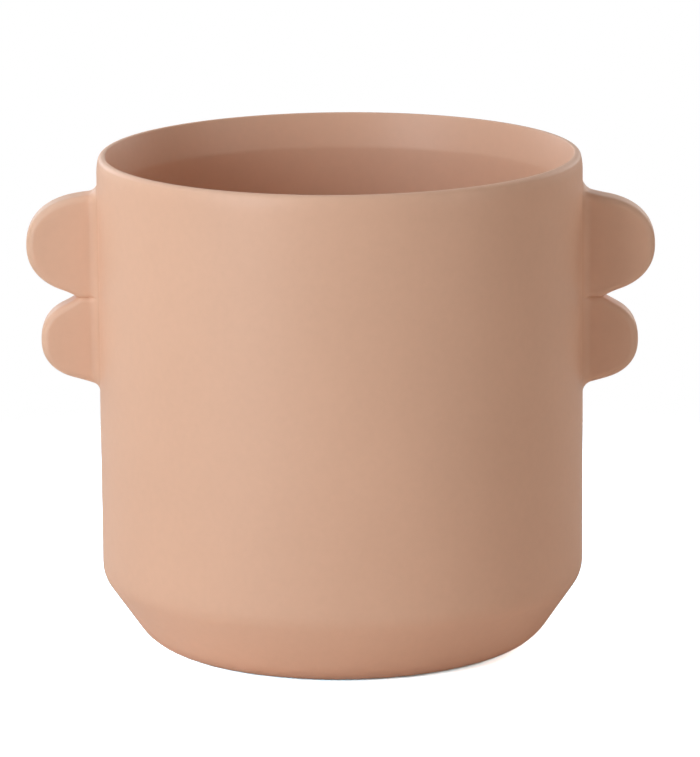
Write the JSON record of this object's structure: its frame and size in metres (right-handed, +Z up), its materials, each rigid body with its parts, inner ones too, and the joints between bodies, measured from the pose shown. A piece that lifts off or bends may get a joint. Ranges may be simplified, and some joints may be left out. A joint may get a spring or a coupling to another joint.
{
  "type": "plant pot",
  "caption": "Round matte ceramic plant pot with an open top, thin rounded lip, chamfered bottom and a flat scalloped ear on either side.",
  "frame": {"origin": "centre of the foot ring, on the surface that the pot stands on", "axes": "+Z up through the open top, X through the two ears, front of the pot towards -Y"},
  "size_m": [0.1944, 0.15, 0.154],
  "materials": {
    "pot_glaze": "matte peach glaze",
    "ear_glaze": "matte peach glaze, a little thinner on the edges"
  },
  "bodies": {
    "root": {"pot_body": "pot_glaze", "ear_left_upper": "ear_glaze", "ear_left_lower": "ear_glaze", "ear_right_upper": "ear_glaze", "ear_right_lower": "ear_glaze"}
  },
  "joints": []
}
